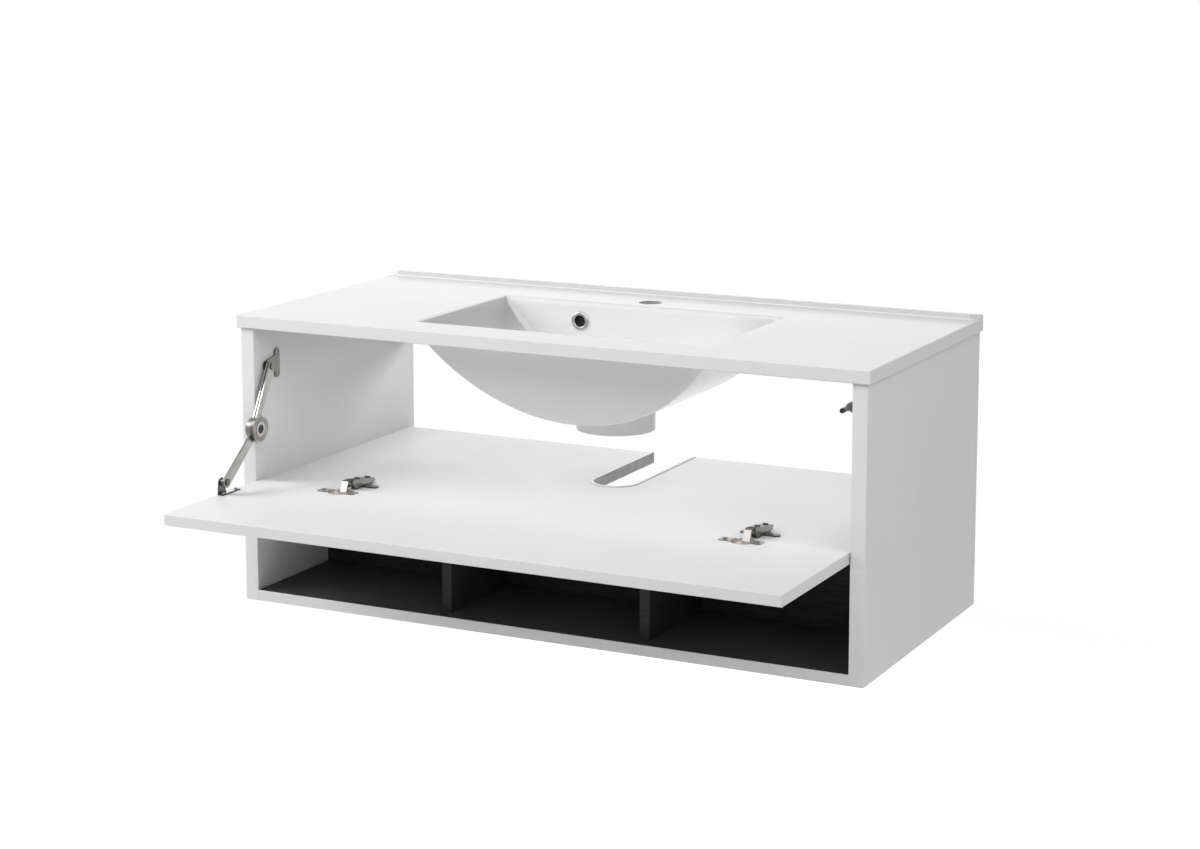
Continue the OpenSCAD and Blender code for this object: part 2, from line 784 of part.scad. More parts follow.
module stay_top_pin() {
    stay_pin(panel_x, upper_arm_x, upper_arm_t, stay_top);
}

// Upper arm: two cheeks on a narrower core, and the knuckle of the elbow
module stay_upper_arm() {
    r = upper_arm_w/2;
    cheek_t = (upper_arm_t - arm_groove_w)/2;
    bevel = 1.5;
    color("silver") difference() {
        union() {
            along_x(upper_arm_x, upper_arm_t) capsule(stay_top, stay_elbow, r - 2, r - 2);
            for (x = [upper_arm_x, upper_arm_x + upper_arm_t - cheek_t])
                along_x(x, cheek_t) capsule(stay_top, stay_elbow, r + 1, r);
            rod_x(knuckle_x + bevel, upper_arm_x + upper_arm_t - knuckle_x - bevel, stay_elbow, knuckle_d);
            translate([knuckle_x, stay_elbow[0], stay_elbow[1]]) rotate([0, 90, 0])
                cylinder(d1 = knuckle_d - 2*bevel, d2 = knuckle_d, h = bevel + eps);
        }
        rod_x(upper_arm_x - 1, upper_arm_t + 2, stay_top, stay_pin_d + 2*run_fit);
    }
}

// Lower arm: a flat bar with a wide eye at the foot and a round end under the brake disc
module stay_lower_arm() {
    color("silver") difference() {
        union() {
            along_x(lower_arm_x, lower_arm_t) capsule(stay_foot, stay_elbow, foot_eye_r, lower_arm_w/2);
            rod_x(lower_arm_x, lower_arm_t, stay_elbow, knuckle_d - 4);
        }
        rod_x(lower_arm_x - 1, lower_arm_t + 2, stay_foot, stay_pin_d + 2*run_fit);
        rod_x(lower_arm_x - 1, lower_arm_t + 2, stay_elbow, hub_d + 2*seat_fit);
    }
}

// Round brake disc with a hub in the lower arm and a recess for the adjusting screw
module stay_brake_disc() {
    color("silver") difference() {
        union() {
            rod_x(lower_arm_x, lower_arm_t + eps, stay_elbow, hub_d);
            rod_x(disc_x, disc_t - 1, stay_elbow, disc_d);
            translate([disc_x + disc_t - 1, stay_elbow[0], stay_elbow[1]]) rotate([0, 90, 0])
                cylinder(d1 = disc_d, d2 = disc_d - 2, h = 1);
        }
        rod_x(disc_x + disc_t - 3, 4, stay_elbow, 14);
    }
}

module stay_adjusting_screw() {
    x0 = disc_x + disc_t - 3;
    color("gray") difference() {
        rod_x(x0, 3.5, stay_elbow, 12);
        for (a = [0, 90]) translate([x0 + 2.5, stay_elbow[0], stay_elbow[1]]) rotate([a, 0, 0])
            translate([0, -3.5, -0.7]) cube([2, 7, 1.4]);
    }
}

// Foot bracket: a narrow plate on the flap and an ear that carries the pin
module stay_foot_bracket() {
    y0 = stay_foot[0] - foot_plate_out;
    color("silver") difference() {
        union() {
            box([ear_x, y0, open_face_z],
                [ear_x + foot_plate_w, y0 + foot_plate_l, open_face_z + bracket_t]);
            along_x(ear_x, bracket_t) {
                translate(stay_foot) circle(ear_r);
                polygon([stay_foot + [-ear_r + side_in, 0], stay_foot + [ear_r - side_in, 0],
                    [stay_foot[0] + ear_r + 5, open_face_z + eps], [y0, open_face_z + eps]]);
            }
        }
        rod_x(ear_x - 1, bracket_t + 2, stay_foot, stay_pin_d + 2*seat_fit);
        foot_screw_places() cylinder(d = screw_d + 2*seat_fit, h = 8, center = true);
    }
}

module stay_foot_pin() {
    stay_pin(ear_x, lower_arm_x, lower_arm_t, stay_foot);
}

module stay_bracket_screws() {
    color("silver") stay_wall_screw_places() screw();
}

module stay_foot_screws() {
    color("silver") foot_screw_places() screw(screw_l - 2);
}

// Latch housing: a tube on a screwed base plate, joined by a web
module latch_housing() {
    plate_x = in_w/2 - latch_plate_t;
    color("lightgray") difference() {
        union() {
            rod_y(latch_y0, latch_l, [latch_x, latch_z], latch_tube_d);
            box([plate_x, latch_y0, latch_z - latch_plate_h/2],
                [in_w/2, latch_y0 + latch_l - 6, latch_z + latch_plate_h/2]);
            along_y(latch_y0 + latch_flare_t, latch_flare_t) polygon([[latch_x - 2, latch_z - 4],
                [plate_x + eps, latch_z - latch_flare_h/2], [plate_x + eps, latch_z + latch_flare_h/2],
                [latch_x - 2, latch_z + 4]]);
            along_y(latch_y0 + latch_l - 6, latch_l - 8) polygon([[latch_x, latch_z - 3.5],
                [plate_x + eps, latch_z - 5], [plate_x + eps, latch_z + 5], [latch_x, latch_z + 3.5]]);
        }
        rod_y(latch_y0 - 1, latch_l - 4, [latch_x, latch_z], plunger_d + 2*run_fit);
        latch_screw_places() cylinder(d = screw_d + 2*seat_fit, h = 10, center = true);
    }
}

module latch_plunger() {
    color("gray") rod_y(latch_y0 - plunger_out + tip_l, plunger_l - tip_l, [latch_x, latch_z], plunger_d);
}

// Soft tip with a recessed middle
module latch_tip() {
    color("dimgray") difference() {
        rod_y(latch_y0 - plunger_out, tip_l, [latch_x, latch_z], plunger_d);
        rod_y(latch_y0 - plunger_out - 1, 2.2, [latch_x, latch_z], plunger_d/2);
    }
}

module latch_screws() {
    color("silver") latch_screw_places() screw();
}

side_panel_left();
side_panel_right();
bottom_panel();
shelf();
lower_back_panel();
divider_left();
divider_right();
notch_trim();
hanging_rail();
dowels();
washbasin();
overflow_ring();
flap();
hinge_cup_left();
hinge_cup_right();
hinge_cup_screws();
hinge_link_left();
hinge_link_right();
hinge_arm_left();
hinge_arm_right();
hinge_pins();
hinge_plate_left();
hinge_plate_right();
hinge_plate_screws();
hinge_arm_screws();
stay_wall_bracket();
stay_top_pin();
stay_upper_arm();
stay_brake_disc();
stay_adjusting_screw();
stay_lower_arm();
stay_foot_bracket();
stay_foot_pin();
stay_bracket_screws();
stay_foot_screws();
latch_housing();
latch_plunger();
latch_tip();
latch_screws();
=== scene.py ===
"""A wall-hung bathroom vanity unit with its flap down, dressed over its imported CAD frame."""

import json
import math

import bmesh
import bpy
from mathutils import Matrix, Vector


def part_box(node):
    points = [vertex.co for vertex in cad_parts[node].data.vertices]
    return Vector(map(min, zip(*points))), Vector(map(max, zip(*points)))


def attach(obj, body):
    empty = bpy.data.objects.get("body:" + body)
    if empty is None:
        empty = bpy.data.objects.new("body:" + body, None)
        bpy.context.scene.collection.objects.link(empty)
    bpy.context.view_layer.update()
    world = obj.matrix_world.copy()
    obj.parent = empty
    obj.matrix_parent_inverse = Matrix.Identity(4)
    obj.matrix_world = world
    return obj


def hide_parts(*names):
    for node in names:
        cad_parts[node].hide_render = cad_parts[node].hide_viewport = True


bl_info = {
    "name": "Vanity unit",
    "version": (1, 0, 0),
    "blender": (4, 5, 0),
    "location": "3D View > Sidebar > Vanity",
    "description": "Builds a bathroom vanity unit piece by piece over its CAD frame",
    "category": "Object",
}

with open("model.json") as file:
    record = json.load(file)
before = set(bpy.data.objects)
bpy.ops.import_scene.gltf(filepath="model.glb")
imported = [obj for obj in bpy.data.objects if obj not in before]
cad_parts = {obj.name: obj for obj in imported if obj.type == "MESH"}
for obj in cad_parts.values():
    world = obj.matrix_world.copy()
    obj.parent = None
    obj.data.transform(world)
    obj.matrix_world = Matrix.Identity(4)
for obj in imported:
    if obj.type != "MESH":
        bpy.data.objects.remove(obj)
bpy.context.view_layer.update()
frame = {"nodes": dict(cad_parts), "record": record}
BODY = {node: body for body, nodes in frame["record"]["behaviour"]["bodies"].items()
        for node in nodes}
SLOT = {row["node"]: row["material_slot"] for row in frame["record"]["subparts"]}
MM = 0.001

# Softboxes: name, place, size, share of the power, and whether gloss and the camera see it
LAMPS = (
    ("left", (-2.4, -1.4, 1.8), (1.8, 1.6), 0.49, True),
    ("front", (0.2, -2.6, 2.3), (2.6, 1.4), 0.19, True),
    ("right", (2.2, -1.2, 2.0), (1.8, 1.6), 0.175, True),
    ("right_low", (2.6, -1.6, 0.6), (1.6, 1.2), 0.02, True),
    ("rear", (0, 0.95, 0.72), (1.4, 0.4), 0.06, False),
    ("rear_inner", (-0.25, 0.9, 0.75), (0.5, 0.5), 0.06, False),
)

# What the softboxes face, and between which distances from it the floor fades to white
AIM = Vector((0, -0.3, 0.2))
FLOOR_FADE = (0.7, 1.9)

# The CAD frame's places that the shapes and looks line up with
MOUNT = {row["name"]: row for row in frame["record"]["mounts"]}
TAP, DRAIN = (Vector(MOUNT[name]["pos_m"]) for name in ("tap_hole", "drain_hole"))
TAP_RADIUS = MOUNT["tap_hole"]["dims"]["r_mm"] * MM
UPSTAND_HEIGHT = 9 * MM
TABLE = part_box("washbasin")[1].z - UPSTAND_HEIGHT
DISC_LOW, DISC_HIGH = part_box("stay_brake_disc")
DISC_AXIS = (DISC_LOW + DISC_HIGH) / 2
RING_LOW, RING_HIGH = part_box("overflow_ring")
PANEL_LOW, PANEL_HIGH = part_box("bottom_panel")
FLAP_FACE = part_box("flap")[1].z
SHELF_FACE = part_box("shelf")[1].z

# The bowl's rear wall, its front wall at the table and the radius of its floor, inside and outside
BOWL_INSIDE = (-0.1295, -0.400, 0.26797)
BOWL_OUTSIDE = (-0.1155, -0.409, 0.27997)
# Height of the floor arcs' centre, and how far the front wall leans back over the bowl's depth
BOWL_CENTRE_Z = 0.57297
BOWL_LEAN = 53 / 133

# Pieces whose finish is not the plain one of their record slot
FINISH = {
    "bottom_panel": "edged_board", "hanging_rail": "shaded_lacquer",
    "stay_wall_bracket": "dark_nickel", "stay_foot_bracket": "foot_nickel",
    "stay_top_pin": "dark_nickel", "stay_foot_pin": "dark_nickel",
    "stay_upper_arm": "knuckle_nickel", "stay_lower_arm": "pale_nickel",
    "stay_brake_disc": "pale_nickel",
    "hinge_cup_left": "cup_nickel", "hinge_cup_right": "cup_nickel",
    "hinge_link_left": "link_nickel", "hinge_link_right": "link_nickel",
    "hinge_arm_left": "hinge_nickel", "hinge_arm_right": "hinge_nickel",
    "hinge_plate_left": "hinge_nickel", "hinge_plate_right": "hinge_nickel",
}


# ---------------------------------------------------------------- sizes and colours

class BoardLooks(bpy.types.PropertyGroup):
    """Lacquered and laminated boards."""
    lacquer: bpy.props.FloatVectorProperty(
        name="Lacquer", description="Colour of the white boards", subtype="COLOR",
        default=(0.90, 0.90, 0.90), min=0, max=1)
    laminate: bpy.props.FloatVectorProperty(
        name="Laminate", description="Colour of the dark boards", subtype="COLOR",
        default=(0.030, 0.030, 0.032), min=0, max=1)
    edge: bpy.props.FloatProperty(
        name="Edge rounding", description="Rounding of the boards' edges", unit="LENGTH",
        default=0.25 * MM, min=0.05 * MM, max=1 * MM)


class BasinLooks(bpy.types.PropertyGroup):
    """Ceramic top."""
    glaze: bpy.props.FloatVectorProperty(
        name="Glaze", description="Colour of the ceramic", subtype="COLOR",
        default=(0.88, 0.88, 0.88), min=0, max=1)
    bowl_fillet: bpy.props.FloatProperty(
        name="Bowl fillet", description="Rounding between the bowl's floor and its walls",
        unit="LENGTH", default=11 * MM, min=2 * MM, max=20 * MM)
    rim: bpy.props.FloatProperty(
        name="Rim rounding", description="Rounding of the bowl's upper edge", unit="LENGTH",
        default=2.5 * MM, min=0.5 * MM, max=5 * MM)
    lip: bpy.props.FloatProperty(
        name="Lip rounding", description="Rounding of the top's outer edges", unit="LENGTH",
        default=1.8 * MM, min=0.5 * MM, max=4 * MM)


class FittingLooks(bpy.types.PropertyGroup):
    """Hinges, stay and latch."""
    nickel: bpy.props.FloatVectorProperty(
        name="Nickel", description="Colour of the plated fittings", subtype="COLOR",
        default=(0.50, 0.49, 0.475), min=0, max=1)
    plastic: bpy.props.FloatVectorProperty(
        name="Plastic", description="Colour of the latch", subtype="COLOR",
        default=(0.24, 0.24, 0.245), min=0, max=1)
    edge: bpy.props.FloatProperty(
        name="Edge rounding", description="Rounding of the fittings' edges", unit="LENGTH",
        default=0.2 * MM, min=0.05 * MM, max=0.5 * MM)
    ribs: bpy.props.IntProperty(
        name="Ribs", description="Ribs round the brake disc's face", default=60, min=24, max=96)


class StudioLooks(bpy.types.PropertyGroup):
    """Floor, lights and camera."""
    floor_drop: bpy.props.FloatProperty(
        name="Floor drop", description="Height of the cabinet above the floor", unit="LENGTH",
        default=0.42, min=0.01, max=1)
    ambient: bpy.props.FloatProperty(
        name="Ambient", description="Strength of the light from all round",
        default=0.1, min=0, max=2)
    power: bpy.props.FloatProperty(
        name="Power", description="Power of the softboxes together", unit="POWER",
        default=131, min=0, max=1000)


# ---------------------------------------------------------------- shader maths

class Value:
    """One socket of a material's nodes; Python's operators add Math nodes to it."""

    def __init__(self, recipe, socket):
        self.recipe = recipe
        self.socket = socket

    def math(self, operation, *values):
        return self.recipe.node("ShaderNodeMath", {"operation": operation}, dict(enumerate(values)))

    def __add__(self, other):
        return self.math("ADD", self, other)

    def __mul__(self, other):
        return self.math("MULTIPLY", self, other)

    def __sub__(self, other):
        return self.math("SUBTRACT", self, other)

    def __rsub__(self, other):
        return self.math("SUBTRACT", other, self)

    def __pow__(self, other):
        return self.math("POWER", self, other)

    __radd__ = __add__
    __rmul__ = __mul__

    def step(self, low, high):
        """0 below low, 1 above high and smooth between."""
        return self.recipe.node("ShaderNodeMapRange", {"interpolation_type": "SMOOTHSTEP"},
                                {"Value": self, "From Min": low, "From Max": high})


class Recipe:
    """A material under construction, in the object's own coordinates."""

    def __init__(self, name):
        self.material = bpy.data.materials.new(name)
        self.material.use_nodes = True
        self.tree = self.material.node_tree
        self.shader = self.tree.nodes["Principled BSDF"]
        self.place = self.node("ShaderNodeTexCoord", output="Object")

    def node(self, kind, settings=None, inputs=None, output=0):
        """A new node with its settings and inputs, as the Value of one of its outputs."""
        node = self.tree.nodes.new(kind)
        for key, value in (settings or {}).items():
            setattr(node, key, value)
        for key, value in (inputs or {}).items():
            self.join(node.inputs[key], value)
        return Value(self, node.outputs[output])

    def join(self, socket, value):
        """Links a Value to a socket, or sets the socket to a plain number or colour."""
        if isinstance(value, Value):
            self.tree.links.new(value.socket, socket)
        elif socket.type == "RGBA":
            socket.default_value = (*value, 1)
        else:
            socket.default_value = value

    def shade(self, **inputs):
        """Sets or links the shader's sockets; an underscore stands for a space."""
        for key, value in inputs.items():
            self.join(self.shader.inputs[key.replace("_", " ")], value)

    def axes(self):
        """The object's own X, Y and Z."""
        parts = self.node("ShaderNodeSeparateXYZ", inputs={0: self.place})
        tree = parts.socket.node.outputs
        return [Value(self, tree[i]) for i in range(3)]

    def facing(self, axis):
        """How far the object's own surface faces along an axis, from -1 to 1."""
        normal = self.node("ShaderNodeTexCoord", output="Normal")
        return self.node("ShaderNodeSeparateXYZ", inputs={0: normal}, output=axis)

    def noise(self, scale, detail=2.0, roughness=0.5, stretch=None):
        place = self.place
        if stretch:
            place = self.node("ShaderNodeMapping", inputs={"Vector": place, "Scale": stretch})
        return self.node("ShaderNodeTexNoise", inputs={
            "Vector": place, "Scale": scale, "Detail": detail, "Roughness": roughness})

    def mix(self, factor, first, second):
        """First where factor is 0 and second where it is 1."""
        node = self.tree.nodes.new("ShaderNodeMix")
        node.data_type = "RGBA"
        for index, value in ((0, factor), (6, first), (7, second)):
            self.join(node.inputs[index], value)
        return Value(self, node.outputs[2])

    def bump(self, height, strength, distance):
        return self.node("ShaderNodeBump", inputs={
            "Height": height, "Strength": strength, "Distance": distance})

    def crevice(self, reach):
        """1 in the open and less in a corner or groove within reach."""
        return self.node("ShaderNodeAmbientOcclusion", {"samples": 8}, {"Distance": reach},
                         output="AO")


def scaled(colour, share):
    return tuple(channel * share for channel in colour)


def lacquer_finish(name, colour):
    """White satin lacquer with a faint orange peel, and painted shade in its corners, widest above
    the bays.
    """
    recipe = Recipe(name)
    cloud = recipe.noise(5, 3)
    peel = recipe.noise(900, 2)
    base = recipe.mix(cloud.step(0.3, 0.7), scaled(colour, 0.985), colour)
    # Painted shade: a wide soft darkening in the corners above the lower bays, none in the bays
    bays = 1 - recipe.axes()[2].step(SHELF_FACE - 30 * MM, SHELF_FACE - 15 * MM)
    base = recipe.mix(recipe.crevice(100 * MM) + bays, scaled(colour, 0.55), base)
    # Painted shade in tight corners and joints
    corner_shade = recipe.crevice(6 * MM) ** 1.5
    recipe.shade(Base_Color=recipe.mix(corner_shade, scaled(colour, 0.8), base),
                 Roughness=0.34 + 0.12 * recipe.noise(14, 4), Specular_IOR_Level=0.3,
                 Normal=recipe.bump(peel, 0.05, 0.1 * MM))
    return recipe.material


def trim_finish(colour):
    """White edge trim with painted shade on the faces to the right, a little on its wall and most
    on its lip.
    """
    recipe = Recipe("notch_trim")
    grain = recipe.noise(60, 4, 0.6)
    lip = recipe.axes()[2].step(SHELF_FACE, SHELF_FACE + 0.2 * MM)
    # Painted shade on the faces that look to the right, darkest on the lip's side
    wall = recipe.mix(grain.step(0.35, 0.65), scaled(colour, 0.74), scaled(colour, 0.88))
    side = recipe.mix(lip, wall, scaled(colour, 0.4))
    recipe.shade(Base_Color=recipe.mix(recipe.facing(0).step(0.3, 0.6), colour, side),
                 Roughness=0.4 + 0.1 * grain, Specular_IOR_Level=0.3,
                 Normal=recipe.bump(grain, 0.05, 0.1 * MM))
    return recipe.material


def edged_laminate(colour, edging):
    """Dark laminate on the upper face, white edging and underside on the rest."""
    recipe = laminate_finish("laminate_white_edge", scaled(colour, 1.4))
    dark = recipe.shader.inputs["Base Color"].links[0].from_socket
    _, y, z = recipe.axes()
    top = (z.step(PANEL_HIGH.z - 0.3 * MM, PANEL_HIGH.z - 0.1 * MM)
           * y.step(PANEL_LOW.y + 0.6 * MM, PANEL_LOW.y + 0.9 * MM))
    recipe.shade(Base_Color=recipe.mix(top, edging, Value(recipe, dark)))
    return recipe.material


def laminate_finish(name, colour):
    """Near-black laminate with a fine dry grain."""
    recipe = Recipe(name)
    grain = recipe.noise(260, 3, 0.6, stretch=(0.12, 1, 1))
    speck = recipe.noise(1400, 1)
    base = recipe.mix(grain.step(0.35, 0.75), colour, scaled(colour, 1.5))
    recipe.shade(Base_Color=base, Roughness=0.5 + 0.12 * grain, Specular_IOR_Level=0.15,
                 Normal=recipe.bump(grain + 0.5 * speck, 0.08, 0.1 * MM))
    return recipe


def ceramic_finish(colour):
    """Gloss glaze, with painted shade in its corners, on the upstand's front, in the bowl's ends,
    in the tap hole and inside the overflow.
    """
    recipe = Recipe("ceramic_glaze")
    x, y, z = recipe.axes()
    body = recipe.mix(recipe.noise(9, 3).step(0.3, 0.7), scaled(colour, 0.99), colour)
    # Painted shade in the corners
    body = recipe.mix(recipe.crevice(5 * MM) ** 1.5, scaled(colour, 0.85), body)
    # Painted shade on the upstand's front face
    upstand = z.step(TABLE + 1 * MM, TABLE + 2 * MM) * (1 - recipe.facing(1).step(-0.9, -0.6))
    body = recipe.mix(upstand, body, scaled(colour, 0.8))

    # Painted shade: the bowl's floor darkens towards both ends, and its rear wall towards the right
    # end
    off_middle = x * x
    below_table = 1 - z.step(TABLE - 2 * MM, TABLE - 1 * MM)
    looks_up = recipe.facing(2).step(-0.3, -0.1)
    between_edges = y.step(-0.45, -0.44) * (1 - y.step(-0.125, -0.12))
    ends = off_middle.step(0.14 ** 2, 0.23 ** 2) * (1 - off_middle.step(0.24 ** 2, 0.25 ** 2))
    floor = recipe.facing(1).step(-0.3, -0.1)
    wall = (1 - recipe.facing(1).step(-0.9, -0.8)) * x.step(0, 0.1) * 0.5
    shade = below_table * looks_up * between_edges * ends * (floor + wall)
    body = recipe.mix(shade, body, scaled(colour, 0.6))

    # Painted shade down the tap hole's bore
    from_tap = (x * x + (y - TAP.y) ** 2) ** 0.5
    off_bore = from_tap.step(TAP_RADIUS - 0.3 * MM, TAP_RADIUS + 0.7 * MM)
    body = recipe.mix(off_bore, scaled(colour, 0.4), body)

    # Painted shade: the overflow is dark inside its ring, from behind the ring to the end of the
    # blind hole
    centre = (RING_LOW + RING_HIGH) / 2
    from_ring = ((x - centre.x) ** 2 + (z - centre.z) ** 2) ** 0.5
    depth = y - RING_LOW.y
    outside = from_ring.step(10.8 * MM, 11.4 * MM)
    mouth = outside + 1 - depth.step(2.7 * MM, 3.2 * MM) + depth.step(12 * MM, 13 * MM)
    recipe.shade(Base_Color=recipe.mix(mouth.step(0.2, 0.8), (0.045, 0.045, 0.045), body),
                 Roughness=0.08 + 0.06 * recipe.noise(6, 4), Specular_IOR_Level=0.12,
                 Normal=recipe.bump(recipe.noise(16, 1), 0.04, 1 * MM))
    return recipe.material


def metal_finish(name, colour, rough=0.24, front=1.0, top=1.0, side=1.0, level=-1.0,
                 knuckle=False, reach=3.5, dark=0.06):
    """Plated metal with a cast grain and painted shade in its corners.

    front, top and side are the shares of the colour where the surface looks to the front (above
    the given level), up and sideways, painted shade and painted light on those faces; knuckle
    darkens the elbow's boss. reach is how far the painted shade comes out of a corner, in
    millimetres, and dark is its share of the colour.
    """
    recipe = Recipe(name)
    grain = recipe.noise(700, 3, 0.6)
    patch = recipe.noise(60, 3)
    # Painted shade in the corners
    clear = recipe.crevice(reach * MM) ** 1.6
    tone_and_shade = recipe.mix(patch.step(0.3, 0.7), scaled(colour, 0.86), colour)
    # Painted shade and painted light on the faces that look to the front, up and sideways
    if front != 1:
        ahead = 1 - recipe.facing(1).step(-0.55, -0.35)
        raised = recipe.axes()[2].step(level, level + 0.1 * MM)
        tone_and_shade = recipe.mix(ahead * raised, tone_and_shade, scaled(colour, front))
    if top != 1:
        tone_and_shade = recipe.mix(recipe.facing(2).step(0.75, 0.9), tone_and_shade, scaled(colour, top))
    if side != 1:
        across = recipe.facing(0)
        tone_and_shade = recipe.mix((across * across).step(0.1, 0.3), tone_and_shade, scaled(colour, side))
    if knuckle:
        _, y, z = recipe.axes()
        from_elbow = ((y - DISC_AXIS.y) ** 2 + (z - DISC_AXIS.z) ** 2) ** 0.5
        tone_and_shade = recipe.mix(from_elbow.step(15.7 * MM, 16.3 * MM), scaled(colour, 0.4), tone_and_shade)
    recipe.shade(Base_Color=recipe.mix(clear, scaled(colour, dark), tone_and_shade), Metallic=1.0,
                 Roughness=rough + 0.14 * grain * (0.6 + 0.8 * patch),
                 Normal=recipe.bump(grain, 0.12, 0.05 * MM))
    return recipe.material


def plastic_finish(name, colour, rough):
    """Moulded plastic with a fine matt grain and painted shade in its corners."""
    recipe = Recipe(name)
    grain = recipe.noise(1200, 2)
    base = recipe.mix(recipe.noise(90, 2).step(0.3, 0.7), scaled(colour, 0.85), scaled(colour, 1.1))
    recipe.shade(Base_Color=recipe.mix(recipe.crevice(2 * MM) ** 1.5, scaled(colour, 0.35), base),
                 Roughness=rough + 0.12 * grain, Normal=recipe.bump(grain, 0.15, 0.05 * MM))
    return recipe.material


def beech_finish():
    """Plain beech with its flecks."""
    recipe = Recipe("beech")
    grain = recipe.noise(220, 4, 0.6, stretch=(0.1, 1, 1))
    base = recipe.mix(grain.step(0.3, 0.7), (0.50, 0.33, 0.18), (0.64, 0.47, 0.29))
    recipe.shade(Base_Color=base, Roughness=0.55 + 0.15 * grain,
                 Normal=recipe.bump(grain, 0.2, 0.1 * MM))
    return recipe.material


# Shares of the scene's nickel colour, lighter and darker copies of one plating painted for how
# light falls on each part, and settings of metal_finish, whose front, top and side shares paint
# shade on fronts and light on tops
NICKEL = {
    "nickel": (1, {"front": 0.25}),
    "dark_nickel": (0.5, {"front": 0.4}),
    "foot_nickel": (0.42, {"front": 0.4, "top": 3.6}),
    "pale_nickel": (1.3, {"front": 0.2}),
    "cup_nickel": (1.6, {"front": 0.12, "level": FLAP_FACE, "reach": 1.5, "dark": 0.5}),
    "link_nickel": (0.95, {"rough": 0.35, "top": 0.35, "side": 0.25, "reach": 1.5}),
    "hinge_nickel": (0.75, {"front": 0.3}),
    "knuckle_nickel": (1, {"knuckle": True}),
}


def nickel_finish(name, colour):
    """One of the nickel finishes, which differ in painted tone and in the painted shade on their
    fronts.
    """
    share, settings = NICKEL[name]
    return metal_finish(name, scaled(colour, share), **settings)


FINISHES = {}


def finish_of(kind):
    """The material of a record slot or special finish, made once from the scene's colours."""
    if kind not in FINISHES:
        scene = bpy.context.scene
        boards, basin, fittings = scene.vanity_boards, scene.vanity_basin, scene.vanity_fittings
        makers = {
            "white_board": lambda: lacquer_finish("white_lacquer", boards.lacquer),
            "white_plastic": lambda: trim_finish(boards.lacquer),
            "black_board": lambda: laminate_finish("dark_laminate", boards.laminate).material,
            # Painted shade: a darker copy of the white lacquer for the brightly lit hanging rail
            "shaded_lacquer": lambda: lacquer_finish("shaded_lacquer", scaled(boards.lacquer, 0.68)),
            "edged_board": lambda: edged_laminate(boards.laminate, boards.lacquer),
            "ceramic": lambda: ceramic_finish(basin.glaze),
            "chrome": lambda: metal_finish("chrome", (0.62, 0.62, 0.63), 0.08, reach=1.2, dark=0.3),
            "dark_steel": lambda: metal_finish("dark_steel", (0.10, 0.10, 0.10)),
            "grey_plastic": lambda: plastic_finish("latch_plastic", fittings.plastic, 0.42),
            "dark_rubber": lambda: plastic_finish("tip_rubber", (0.03, 0.03, 0.031), 0.6),
            "dowel_wood": beech_finish,
        }
        if kind in NICKEL:
            FINISHES[kind] = nickel_finish(kind, fittings.nickel)
        else:
            FINISHES[kind] = makers[kind]()
    return FINISHES[kind]


# ---------------------------------------------------------------- modelling by hand, in code

def pick(obj):
    """Leaves obj alone selected and active."""
    bpy.ops.object.select_all(action="DESELECT")
    obj.select_set(True)
    bpy.context.view_layer.objects.active = obj


def copy_node(node, name):
    """A merged copy of a CAD node, with its flat faces joined up."""
    obj = bpy.data.objects.new(name, frame["nodes"][node].data.copy())
    bpy.context.scene.collection.objects.link(obj)
    obj.data.name = name
    pick(obj)
    bpy.ops.object.mode_set(mode="EDIT")
    bpy.ops.mesh.select_all(action="SELECT")
    bpy.ops.mesh.remove_doubles(threshold=0.002 * MM)
    bpy.ops.mesh.dissolve_limited(angle_limit=math.radians(0.4), delimit=set())
    bpy.ops.mesh.select_all(action="DESELECT")
    bpy.ops.object.mode_set(mode="OBJECT")
    return obj


def bevel_where(obj, test, width, segments, turn=25):
    """Bevels the edges that turn by more than the given degrees and whose ends pass the test."""
    pick(obj)
    bpy.ops.object.mode_set(mode="EDIT")
    bpy.ops.mesh.select_mode(type="EDGE")
    bpy.ops.mesh.select_all(action="DESELECT")
    mesh = bmesh.from_edit_mesh(obj.data)
    found = False
    for edge in mesh.edges:
        if len(edge.link_faces) == 2 and edge.calc_face_angle(0) > math.radians(turn):
            if test(edge.verts[0].co) and test(edge.verts[1].co):
                edge.select_set(True)
                found = True
    bmesh.update_edit_mesh(obj.data)
    if found:
        bpy.ops.mesh.bevel(offset=width, offset_type="OFFSET", segments=segments, profile=0.5,
                           affect="EDGES", clamp_overlap=True)
    bpy.ops.object.mode_set(mode="OBJECT")


def apply(obj, kind, **settings):
    """Adds a modifier and applies it at once."""
    pick(obj)
    modifier = obj.modifiers.new(kind.title(), kind)
    for key, value in settings.items():
        setattr(modifier, key, value)
    bpy.ops.object.modifier_apply(modifier=modifier.name)


def smooth(obj, angle=38):
    """Smooth shading up to an angle, with flat faces kept flat."""
    pick(obj)
    bpy.ops.object.shade_smooth_by_angle(angle=math.radians(angle))
    apply(obj, "WEIGHTED_NORMAL", keep_sharp=True, weight=80)


def round_edges(obj, width, segments=2, turn=28):
    """Rounds every edge sharper than the given turn."""
    apply(obj, "BEVEL", width=width, segments=segments, limit_method="ANGLE",
          angle_limit=math.radians(turn), use_clamp_overlap=True)


def hand_over(obj, node):
    """Gives a finished piece its material and body, and lets it stand for its CAD node."""
    obj.data.materials.clear()
    obj.data.materials.append(finish_of(FINISH.get(node, SLOT[node])))
    for face in obj.data.polygons:
        face.material_index = 0
    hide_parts(node)
    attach(obj, BODY[node])


def soften(node, width, segments=2, turn=28):
    """A CAD node's copy with rounded edges, in its node's place."""
    obj = copy_node(node, node + "_piece")
    round_edges(obj, width, segments, turn)
    smooth(obj)
    hand_over(obj, node)


class PieceOperator(bpy.types.Operator):
    """Common part of the operators that make a piece."""
    bl_options = {"REGISTER", "UNDO"}


